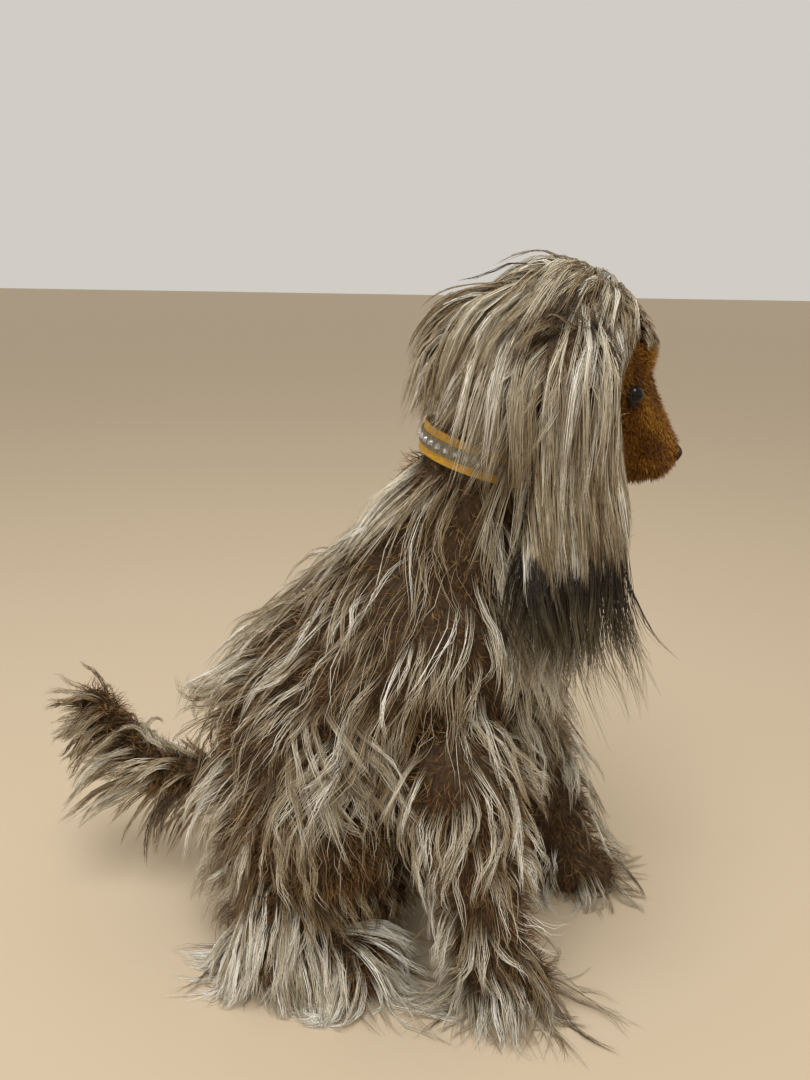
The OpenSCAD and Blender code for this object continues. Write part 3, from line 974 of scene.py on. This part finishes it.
FRINGE = {**TRUNK, "length": (0.045, 0.085), "hairs": 6, "bare": 0.0, "clump": 0.8, "fall": 0.35,
          "layer": (0.0, 0.006), "curl": 0.005, "tone": (0.5, 0.2), "hug": 0.0}
for side_name, side in SIDES.items():
    for part, locks in (("front_leg_", 70), ("hind_leg_", 80)):
        add_coat(part + "fringe_" + side_name, part + side_name, "trunk", fringe_comb, locks,
                 seed=101 + side, keep=lambda p, n: (p[:, 2] < 0.024) & (p[:, 1] * side > 0.05), **FRINGE)
print(hair_count, "hairs on the trunk")


# %% [markdown]
# ### Tail
# The tail is combed towards its tip, and a fringe hangs from it.

# %% Tail coat
def tail_comb(p, n):
    up = np.clip((-p[:, 0] - 0.12) / 0.05, 0, 1)
    way = np.stack([-1 + 0.5 * up, 0 * up, -0.45 + 0.5 * up], -1)
    return way, 0.8 + 0.5 * np.clip(-n[:, 2], 0, 1), -0.02


add_coat("tail_hair", "tail", "tail", tail_comb, 170, 12, ["tail"], seed=51, length=(0.045, 0.065),
         fall=0.35, layer=(0.001, 0.006))


# %% [markdown]
# ### Head and ears
# The head is combed from its crown back and down, and its front hair joins the curtain of the ears.

# %% Head and ear coats
FAN_START = np.array([0.085, 0, 0.104])     # the head's hair fans out from here, in the head's frame
COLLAR_SHOWS = math.radians(75)             # how far round the nape the collar shows, from the very back


def beside(side, x, y, z):
    """The same place on each side of the head, in metres in the head's frame."""
    return np.stack(np.broadcast_arrays(x, side * y, z), -1)


def combed(p, x, y, z, stray, patch, seed):
    """A comb in the head's frame: ahead, out to the ear and up, with a little stray in it."""
    way = np.stack(np.broadcast_arrays(x, y * np.sign(to_head(p)[:, 1]), z), -1)
    return way @ HEAD_TURN.T + stray * swirl(p, patch, seed), np.ones(len(p)), 0.0


def head_comb(p, n):
    q = to_head(p)
    side = np.sign(q[:, 1])
    top = ramp_up(q[:, 2], 0.06, 0.10)
    from_forehead = q - FAN_START
    way = unit(np.stack([from_forehead[:, 0], 0 * side, 1.1 * from_forehead[:, 2] - 0.02], -1))
    way[:, 1] = side * (0.15 + 0.5 * top)
    patch = np.exp(-((q - beside(side, 0.038, 0.036, 0.086)) ** 2).sum(1) / 0.0007)
    return way @ HEAD_TURN.T + 0.12 * swirl(p, 0.08, 800), 1 - 0.5 * patch, -0.55 * patch


def above_collar(p, n):
    """The part of the head that has long hair: behind the face and above the collar."""
    q = to_head(p)
    forehead = (q[:, 2] > 0.070) & (q[:, 0] < 0.066)
    return (q[:, 2] > 0.016) & ((q[:, 0] < 0.060) | forehead)


def cover_comb(p, n):
    ahead = ramp_up(to_head(p)[:, 0], 0.01, 0.06)
    return combed(p, -0.8 + 0.65 * ahead, 0.7, -0.9 - 0.1 * ahead, 0.08, 0.08, 810)


def ear_root_side(p):
    """The strip of the skull just above an ear."""
    q = to_head(p)
    return (q[:, 2] > 0.074) & (np.abs(q[:, 1]) > 0.018) & (q[:, 0] > -0.012) & (q[:, 0] < 0.078)


def shows_collar(points):
    """Keeps the head's hair off the collar at the nape."""
    from_collar = points - COLLAR
    along = from_collar @ NECK_AXIS
    round_neck = np.arctan2(np.abs(from_collar[..., 1]), -from_collar[..., 0])
    edge = 0.005 + 0.005 * swell(points, 0.012, 815)
    return in_coat_space(points) & ((along > edge) | (round_neck > COLLAR_SHOWS))


def above_ear_tip(points):
    """Keeps the ears' upper hair off their dark tips, which are partly dark hair and partly painted shade below the
    ears.
    """
    ragged = rng.normal(0, 0.012, (len(points), 1))
    return in_coat_space(points) & (points[..., 2] > 0.282 + ragged + 0.010 * swell(points, 0.02, 820))


def ear_comb(p, n):
    return np.tile([0.0, 0.0, -1.0], (len(p), 1)), np.ones(len(p)), 0.0


def tip_comb(p, n):
    out = 0.25 * n * LEVEL + 0.15 * swirl(p, 0.05, 900)
    return out + np.array([0.12, 0.0, -1.0]), np.ones(len(p)), 0.0


def crown_comb(p, n):
    return combed(p, -1.0, 0.5, -0.3, 0.15, 0.05, 830)


def on_crown(p, n):
    q = to_head(p)
    return (q[:, 2] > 0.094) & (np.abs(q[:, 1]) < 0.028) & (q[:, 0] < 0.06)


def forehead_comb(p, n):
    front = ramp_up(to_head(p)[:, 0], 0.06, 0.08)
    return combed(p, -0.7 + 0.7 * front, 0.9, -0.5 - 0.4 * front, 0.2, 0.04, 840)


def on_forehead(p, n):
    q = to_head(p)
    return (q[:, 2] > 0.060) & (q[:, 0] > 0.034)


def on_brow_top(p, n):
    q = to_head(p)
    return (q[:, 2] > 0.069) & (q[:, 0] > 0.05)


def beside_face(p, n):
    """The strip between an ear and the face."""
    q = to_head(p)
    return (q[:, 2] > 0.040) & (q[:, 2] < 0.088) & (q[:, 0] > 0.042) & (np.abs(q[:, 1]) > 0.012)


def behind_eye(points):
    """Keeps the cheek's hair behind the eyes."""
    q = to_head(points)
    edge = 0.070 + 0.5 * np.clip(q[..., 2] - 0.055, 0, None) + 0.4 * np.clip(0.035 - q[..., 2], 0, 0.045)
    edge = edge - 0.55 * np.clip(np.abs(q[..., 1]) - 0.027, 0, None)
    return in_coat_space(points) & (q[..., 0] < edge)


def clear_of_face(points):
    """Keeps the head's hair off the collar and the face."""
    return shows_collar(points) & behind_eye(points)


def clear_of_tip_and_face(points):
    return above_ear_tip(points) & behind_eye(points)


def above_brow(points):
    """Keeps the forehead's hair above the tan brow."""
    q = to_head(points)
    return in_coat_space(points) & (q[..., 2] > 0.064 + 0.6 * np.clip(0.09 - q[..., 0], -0.02, 0))


def cheek_comb(p, n):
    return combed(p, -0.12, 0.5, -1.0, 0.1, 0.05, 845)


HEAD = dict(length=(0.06, 0.10), fall=0.22, lift=0.25, tone=(0.62, 0.2), curl=0.0015, layer=(0.004, 0.021),
            spread=0.003, clump=0.5, thickness=(0.00028, 0.00048), tousle=0.1, bare=0.3, space=clear_of_face,
            hug=0.75)
add_coat("crown_hair", "head", "head", crown_comb, 130, 9, HEAD_FORMS, seed=57, keep=on_crown,
         **{**HEAD, "length": (0.045, 0.07), "layer": (0.003, 0.008), "tone": (0.6, 0.2), "bare": 0.0,
            "lift": 0.3})
FOREHEAD = {**HEAD, "length": (0.018, 0.034), "layer": (0.002, 0.006), "tone": (0.42, 0.15), "bare": 0.0,
            "curl": 0.0012}
add_coat("forehead_hair", "head", "head", forehead_comb, 300, 9, HEAD_FORMS, seed=58, keep=on_forehead,
         **FOREHEAD)
add_coat("brow_hair", "face", "head", forehead_comb, 130, 9, HEAD_FORMS, seed=59, keep=on_brow_top,
         **{**FOREHEAD, "length": (0.012, 0.02), "layer": (0.001, 0.004), "space": above_brow})
for side_name, side in SIDES.items():
    ears = [n for n in EAR_FORMS if side_name in n]
    add_coat("cheek_hair_" + side_name, "head", "head", cheek_comb, 150, 9, HEAD_FORMS + ears,
             seed=68 + side, keep=lambda p, n: beside_face(p, n) & (to_head(p)[:, 1] * side > 0),
             **{**HEAD, "length": (0.05, 0.095), "layer": (0.002, 0.008), "fall": 0.4, "bare": 0.0,
                "space": behind_eye})
    add_coat("head_hair_" + side_name, "head", "head", head_comb, 440, 9, HEAD_FORMS + ears, seed=61 + side,
             keep=lambda p, n: above_collar(p, n) & (to_head(p)[:, 1] * side >= 0), **HEAD)
    add_coat("ear_cover_" + side_name, "head", "head", cover_comb, 130, 9, HEAD_FORMS + ears, seed=66 + side,
             keep=lambda p, n: ear_root_side(p) & (to_head(p)[:, 1] * side > 0),
             **{**HEAD, "length": (0.08, 0.125), "fall": 0.35, "bare": 0.0, "hug": 0.5, "clump": 0.4,
                "space": clear_of_tip_and_face})
    name = "ear_" + side_name
    out = HEAD_TURN @ np.array([0, side, 0])
    add_coat(name + "_hair", name, name, ear_comb, 370, 9, ears, seed=71 + side,
             keep=lambda p, n: (n @ out > -0.3) & (to_head(p)[:, 2] > -0.04),
             **{**HEAD, "length": (0.05, 0.075), "fall": 0.35, "layer": (0.002, 0.008), "clump": 0.55,
                "bare": 0.05, "tousle": 0.15, "space": clear_of_tip_and_face, "hug": 0.2})
    # The ear tips' dark hair stands partly for painted shade below the hanging ears.
    dark = {**HEAD, "length": (0.05, 0.08), "fall": 0.25, "layer": (0.001, 0.012), "tone": (0.25, 0.2),
            "tousle": 0.25, "space": in_coat_space, "hug": 0.0, "bare": 0.0, "material": ear_tip_hair}
    add_coat(name + "_tip_hair", name, name, tip_comb, 170, 9, ears, seed=81 + side,
             keep=lambda p, n: to_head(p)[:, 2] < -0.03, **dark)
    add_coat(name + "_wisps", name, name, tip_comb, 60, 8, ears, seed=91 + side,
             keep=lambda p, n: to_head(p)[:, 2] < -0.045,
             **{**dark, "length": (0.075, 0.10), "tone": (0.8, 0.15), "curl": 0.004, "tousle": 0.35})
print(hair_count, "long hairs in all")

# %% [markdown]
# ### Underpile
# Short curly brown pile covers the plush forms.

# %% Underpile
UNDER_STEPS = 3


def add_pile(name, form, body, count, against, length, thickness, curl, material, slot, comb,
             lift=1.0, keep=None, tone=(0.5, 0.25)):
    """Short pile on a form: one hair to each root."""
    global hair_count
    others = [] if against is FACE_FORMS else [n for n in against if n != form]

    def allowed(p, n):
        good = distance(p, limbs(others)) > -0.001 if others else np.ones(len(p), bool)
        good &= p[:, 2] > 0.003
        return good if keep is None else good & keep(p, n)

    roots, normals = surface_roots(forms[form], round(FULLNESS * count), allowed)
    way = unit(normals * lift + comb(roots, normals) + 0.35 * rng.normal(size=roots.shape))
    t = np.linspace(0, 1, UNDER_STEPS)
    size = rng.uniform(*length, len(roots))
    line = roots[:, None] + way[:, None] * (size[:, None] * t[None])[..., None]
    line = line + rng.normal(0, 1, line.shape) * (curl * t)[None, :, None]
    line[..., 2] = np.maximum(line[..., 2], FLOOR_LIFT)
    inside = in_coat_space(line).all(1)
    roots, line = roots[inside], line[inside]
    tones = np.clip(tone[0] + tone[1] * swell(roots, 0.02, 5) + rng.normal(0, 0.15, len(roots)), 0, 1)
    made = spikes(name, line, tones, rng.uniform(*thickness, len(roots)), material)
    hair_count += len(line)
    return finish_piece(made, body, slot)


def down(p, n):
    return np.tile([0.0, 0.0, -0.5], (len(p), 1))


def swept_back(p, n):
    return head_comb(p, n)[0]


UNDER = dict(length=(0.008, 0.016), thickness=(0.0004, 0.0007), curl=0.0025, material=brown_hair,
             slot="long_pile", comb=down)
SHORT = {**UNDER, "length": (0.005, 0.009), "lift": 0.5}
add_pile("torso_underpile", "torso", "trunk", 8000, TRUNK_FORMS, **UNDER)
add_pile("neck_underpile", "neck", "trunk", 1500, TRUNK_FORMS, **{**UNDER, "keep": below_collar})
add_pile("tail_underpile", "tail", "tail", 2400, ["tail"], **UNDER)
add_pile("head_underpile", "head", "head", 4800, HEAD_FORMS, keep=lambda p, n: to_head(p)[:, 2] > 0.016,
         **{**SHORT, "length": (0.004, 0.007), "comb": swept_back, "lift": 0.35, "curl": 0.001})
for side_name in SIDES:
    for part, count in (("thigh", 1200), ("hind_leg", 1900), ("front_leg", 2600)):
        add_pile(part + "_underpile_" + side_name, part + "_" + side_name, "trunk", count, TRUNK_FORMS,
                 **UNDER)
    add_pile("ear_underpile_" + side_name, "ear_" + side_name, "ear_" + side_name, 900, [], **SHORT)
print(hair_count, "hairs with the underpile")

# %% [markdown]
# ## Face
# Short tan pile lies down along the muzzle. The eyes are glossy domes.

# %% Face pile
def face_comb(p, n):
    q = to_head(p)
    brow = np.exp(-((q[:, 2] - 0.064) / 0.012) ** 2)
    way = np.stack([0.6 * brow - 0.1, 0.4 * np.sign(q[:, 1]), -1.0 + 0.7 * brow], -1)
    return way @ HEAD_TURN.T


def on_brow(p, n):
    q = to_head(p)
    return (q[:, 2] > 0.052) & (q[:, 2] < 0.070) & (q[:, 0] > 0.074) & (np.abs(q[:, 1]) < 0.022)


def on_face(p, n):
    q = to_head(p)
    return (q[:, 0] > 0.055) & (q[:, 2] < 0.069)


# Darker pile round the eyes is painted shade; the pile is also darker at the muzzle's end and under the muzzle.
def on_eye_shade_and_dark_muzzle(p, n):
    q = to_head(p)
    eye = np.linalg.norm(q - beside(np.sign(q[:, 1]), 0.079, 0.026, 0.038), axis=1)
    return (q[:, 0] > 0.055) & ((eye < 0.011) | (q[:, 2] < -0.012) | (q[:, 0] > 0.122))


FACE = dict(thickness=(0.0003, 0.0005), curl=0.0004, material=tan_hair, slot="face_pile", comb=face_comb,
            lift=0.7)
add_pile("face_pile", "face", "head", 11000, FACE_FORMS, length=(0.003, 0.0055), keep=on_face, **FACE)
add_pile("brow_pile", "face", "head", 1300, FACE_FORMS, length=(0.004, 0.007), keep=on_brow,
         **{**FACE, "tone": (0.4, 0.2)})
# Painted shade round the eyes, and a darker muzzle end and underside, in dark tan pile.
add_pile("dark_face_pile", "face", "head", 1600, FACE_FORMS, length=(0.004, 0.007), keep=on_eye_shade_and_dark_muzzle,
         **{**FACE, "tone": (0.0, 0.1)})

# %% [markdown]
# ## Nose, eyelids and soles
# The nose is a soft wide button with two nostrils. Each eye sits in a rim of dark pile. The panels on the
# floor keep the frame's own outlines.

# %% Nose, eyelids and soles
NOSE_RADIUS = 0.0084
NOSE_PLACE = (126, 0, -8)               # millimetres in the head's frame
NOSE_DROOP = math.radians(18)
NOSTRIL_RADIUS = 0.0026
NOSTRIL_DEPTH = 0.0022
EYE_YAW = math.radians(56)              # outward turn of an eye
EYE_LIFT = 0.14                         # upward part of an eye's direction
BROW_CENTRE = (61, 0, 34)
BROW_RADIUS = 0.0325
RIM_RADIUS = 0.0062
RIM_THICKNESS = 0.0032
RIM_NARROWING = 0.86
SOLE_EDGE = 0.0006


def head_matrix(centre):
    """Places a piece that was made at the origin in the head's frame, at a point in millimetres."""
    return Matrix.Translation(head_point(centre)) @ Matrix(HEAD_TURN.tolist()).to_4x4()


nose_material = plush_material("nose_pile", rgb(22, 13, 8), rgb(52, 32, 16), 500)
bpy.ops.object.select_all(action="DESELECT")
add_ball((0, 0, 0), NOSE_RADIUS, 48)
nose = bpy.context.object
for vertex in nose.data.vertices:
    co = vertex.co
    co.z *= 0.86 if co.z < 0 else 0.78
    co.y *= 1.0 + 0.10 * co.z / 0.008
    for nostril in (-1, 1):
        pit = Vector((0.0068, nostril * 0.0040, -0.0010))
        near = (co - pit).length / NOSTRIL_RADIUS
        if near < 1:
            co.x -= NOSTRIL_DEPTH * (1 - near * near)
nose.data.transform(head_matrix(NOSE_PLACE) @ Matrix.Rotation(NOSE_DROOP, 4, "Y"))
settle(nose, "nose_button", nose_material)
finish_piece(nose, "head", "nose_plush", "nose")
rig.padded(nose, fill=0.9)

rim_material = plush_material("eye_rim", rgb(24, 13, 5), rgb(62, 38, 12), 600)
for side_name, side in SIDES.items():
    bpy.ops.object.select_all(action="DESELECT")
    bpy.ops.mesh.primitive_torus_add(major_radius=RIM_RADIUS, minor_radius=RIM_THICKNESS / 2,
                                     major_segments=48, minor_segments=16, location=(0, 0, 0))
    rim = bpy.context.object
    for vertex in rim.data.vertices:
        vertex.co.x *= RIM_NARROWING
    way = Vector(HEAD_TURN @ np.array([math.cos(EYE_YAW), side * math.sin(EYE_YAW), EYE_LIFT]))
    base = Vector(head_point(BROW_CENTRE)) + way.normalized() * BROW_RADIUS
    rim.data.transform(Matrix.Translation(base) @ way.to_track_quat("Z", "Y").to_matrix().to_4x4())
    settle(rim, "eye_rim_" + side_name, rim_material)
    finish_piece(rim, "head", "face_pile")

SOLES = ("seat_panel", "front_sole_right", "front_sole_left", "hind_sole_right", "hind_sole_left")
for node_name in SOLES:
    sole = bpy.data.objects.new(node_name + "_cloth", frame["nodes"][node_name].data.copy())
    bpy.context.scene.collection.objects.link(sole)
    edge = sole.modifiers.new("edge", "BEVEL")
    edge.width = SOLE_EDGE
    edge.segments = 2
    edge.limit_method = "ANGLE"
    apply_modifiers(sole)
    settle(sole, node_name + "_cloth", sole_plush, smooth=False)
    finish_piece(sole, "trunk", "sole_cloth", node_name)
    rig.padded(sole, fill=0.1)
print("nose, eye rims and", len(SOLES), "soles made")

# %% [markdown]
# ## Eyes and collar
# These keep the frame's own solids and get their finish: glossy eyes, woven gold ribbon, clear stones.

# %% Eyes and collar
eye = Shader("eye_gloss", Roughness=0.1, Specular_IOR_Level=0.2, Coat_Weight=0.15, Coat_Roughness=0.03,
             Base_Color=(*rgb(12, 6, 3), 1))
gold = Shader("gold_ribbon", Roughness=0.45)
weave = gold.noise(900)
gold.paint("Base Color", gold.ramp(weave, (0.3, rgb(150, 106, 10)), (0.7, rgb(206, 156, 28))))
gold.bump(weave, 0.0004)
grey = Shader("grey_strip", Roughness=0.7)
grey.paint("Base Color", grey.ramp(grey.noise(900), (0.3, rgb(84, 76, 58)), (0.7, rgb(122, 112, 90))))
stone = Shader("clear_stone", Roughness=0.12, Coat_Weight=1.0, Metallic=0.4)
stone.paint("Base Color", stone.ramp(stone.noise(300), (0.3, rgb(130, 126, 122)), (0.7, rgb(214, 210, 206))))
CAD_MATERIALS = {
    "eye_right": eye.material, "eye_left": eye.material,
    "collar_ribbon": gold.material, "collar_overlap": gold.material, "collar_strip": grey.material,
    "collar_stones": stone.material,
}
for node_name, material in CAD_MATERIALS.items():
    node = frame["nodes"][node_name]
    node.data.materials.clear()
    node.data.materials.append(material)
print("eyes and collar finished")

# %% [markdown]
# ## Floor and light
# A plain pale floor, a large soft light above and a weak one from the front.

# %% Floor and light
bpy.ops.object.select_all(action="DESELECT")
bpy.ops.mesh.primitive_plane_add(size=80, location=(0, 0, 0))
floor = bpy.context.object
floor.name = "floor"
floor_shader = Shader("pale_floor", Roughness=0.75, Base_Color=(*rgb(200, 181, 154), 1))
floor.data.materials.append(floor_shader.material)
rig.stage(floor)


def area_light(name, place, target, size, power):
    data = bpy.data.lights.new(name, "AREA")
    data.size = size
    data.energy = power
    made = bpy.data.objects.new(name, data)
    bpy.context.scene.collection.objects.link(made)
    made.location = place
    made.rotation_euler = (Vector(target) - Vector(place)).to_track_quat("-Z", "Y").to_euler()
    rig.stage(made)
    return made


area_light("ceiling_light", (0.1, -0.7, 1.9), (0.05, 0, 0.2), 1.0, 26)
area_light("fill_light", (-1.2, -1.4, 0.9), (0.05, 0, 0.2), 1.2, 7)
world = bpy.data.worlds.new("room")
world.use_nodes = True
world.node_tree.nodes["Background"].inputs["Color"].default_value = (*rgb(230, 226, 218), 1)
world.node_tree.nodes["Background"].inputs["Strength"].default_value = 0.8
bpy.context.scene.world = world
bpy.context.scene.view_settings.view_transform = "Standard"

# %% Finish
look_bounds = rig.bounds()
sizes = {"cad": [list(corner) for corner in cad_bounds], "look": [list(corner) for corner in look_bounds]}
with open("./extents.json", "w") as out:
    json.dump(sizes, out)
triangles = sum(len(o.data.loops) - 2 * len(o.data.polygons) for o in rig.pieces() if o.type == "MESH")
print("triangles:", triangles)
